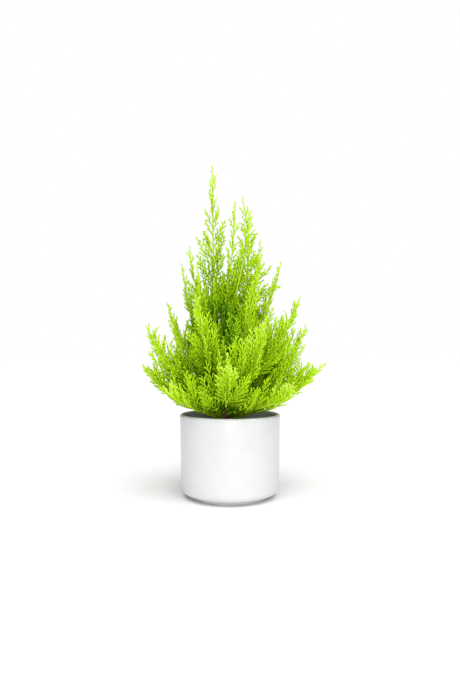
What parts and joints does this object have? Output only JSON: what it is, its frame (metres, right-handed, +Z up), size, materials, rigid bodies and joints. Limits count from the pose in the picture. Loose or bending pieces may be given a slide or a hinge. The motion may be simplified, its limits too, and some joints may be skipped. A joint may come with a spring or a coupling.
{
  "type": "potted lemon cypress",
  "caption": "Small upright conifer with lime green scale foliage on a woody trunk, growing in a plain white cylindrical ceramic pot.",
  "frame": {"origin": "centre of the circle that the pot's foot ring stands on, on the surface that carries the pot", "axes": "+Z up along the pot's axis, +X to the right, -Y towards the front from which the tallest leader stands left of the axis"},
  "size_m": [0.21, 0.21, 0.4],
  "materials": {
    "glazed_ceramic": "gloss",
    "potting_mix": "matte",
    "bark": "matte",
    "green_wood": "matte",
    "lime_foliage": "matte"
  },
  "bodies": {
    "root": {"ceramic_pot": "glazed_ceramic", "potting_mix": "potting_mix", "trunk": "bark", "leader_1_stem": "green_wood", "leader_1_foliage": "lime_foliage", "leader_2_stem": "green_wood", "leader_2_foliage": "lime_foliage", "leader_3_stem": "green_wood", "leader_3_foliage": "lime_foliage", "leader_4_stem": "green_wood", "leader_4_foliage": "lime_foliage", "leader_5_stem": "green_wood", "leader_5_foliage": "lime_foliage", "leader_6_stem": "green_wood", "leader_6_foliage": "lime_foliage", "leader_7_stem": "green_wood", "leader_7_foliage": "lime_foliage", "upper_branch_1_stem": "green_wood", "upper_branch_1_foliage": "lime_foliage", "upper_branch_2_stem": "green_wood", "upper_branch_2_foliage": "lime_foliage", "upper_branch_3_stem": "green_wood", "upper_branch_3_foliage": "lime_foliage", "upper_branch_4_stem": "green_wood", "upper_branch_4_foliage": "lime_foliage", "upper_branch_5_stem": "green_wood", "upper_branch_5_foliage": "lime_foliage", "middle_branch_1_stem": "green_wood", "middle_branch_1_foliage": "lime_foliage", "middle_branch_2_stem": "green_wood", "middle_branch_2_foliage": "lime_foliage", "middle_branch_3_stem": "green_wood", "middle_branch_3_foliage": "lime_foliage", "middle_branch_4_stem": "green_wood", "middle_branch_4_foliage": "lime_foliage", "middle_branch_5_stem": "green_wood", "middle_branch_5_foliage": "lime_foliage", "middle_branch_6_stem": "green_wood", "middle_branch_6_foliage": "lime_foliage", "middle_branch_7_stem": "green_wood", "middle_branch_7_foliage": "lime_foliage", "middle_branch_8_stem": "green_wood", "middle_branch_8_foliage": "lime_foliage", "low_branch_1_stem": "green_wood", "low_branch_1_foliage": "lime_foliage", "low_branch_2_stem": "green_wood", "low_branch_2_foliage": "lime_foliage", "low_branch_3_stem": "green_wood", "low_branch_3_foliage": "lime_foliage", "low_branch_4_stem": "green_wood", "low_branch_4_foliage": "lime_foliage", "low_branch_5_stem": "green_wood", "low_branch_5_foliage": "lime_foliage", "low_branch_6_stem": "green_wood", "low_branch_6_foliage": "lime_foliage", "low_branch_7_stem": "green_wood", "low_branch_7_foliage": "lime_foliage", "low_branch_8_stem": "green_wood", "low_branch_8_foliage": "lime_foliage"}
  },
  "joints": []
}
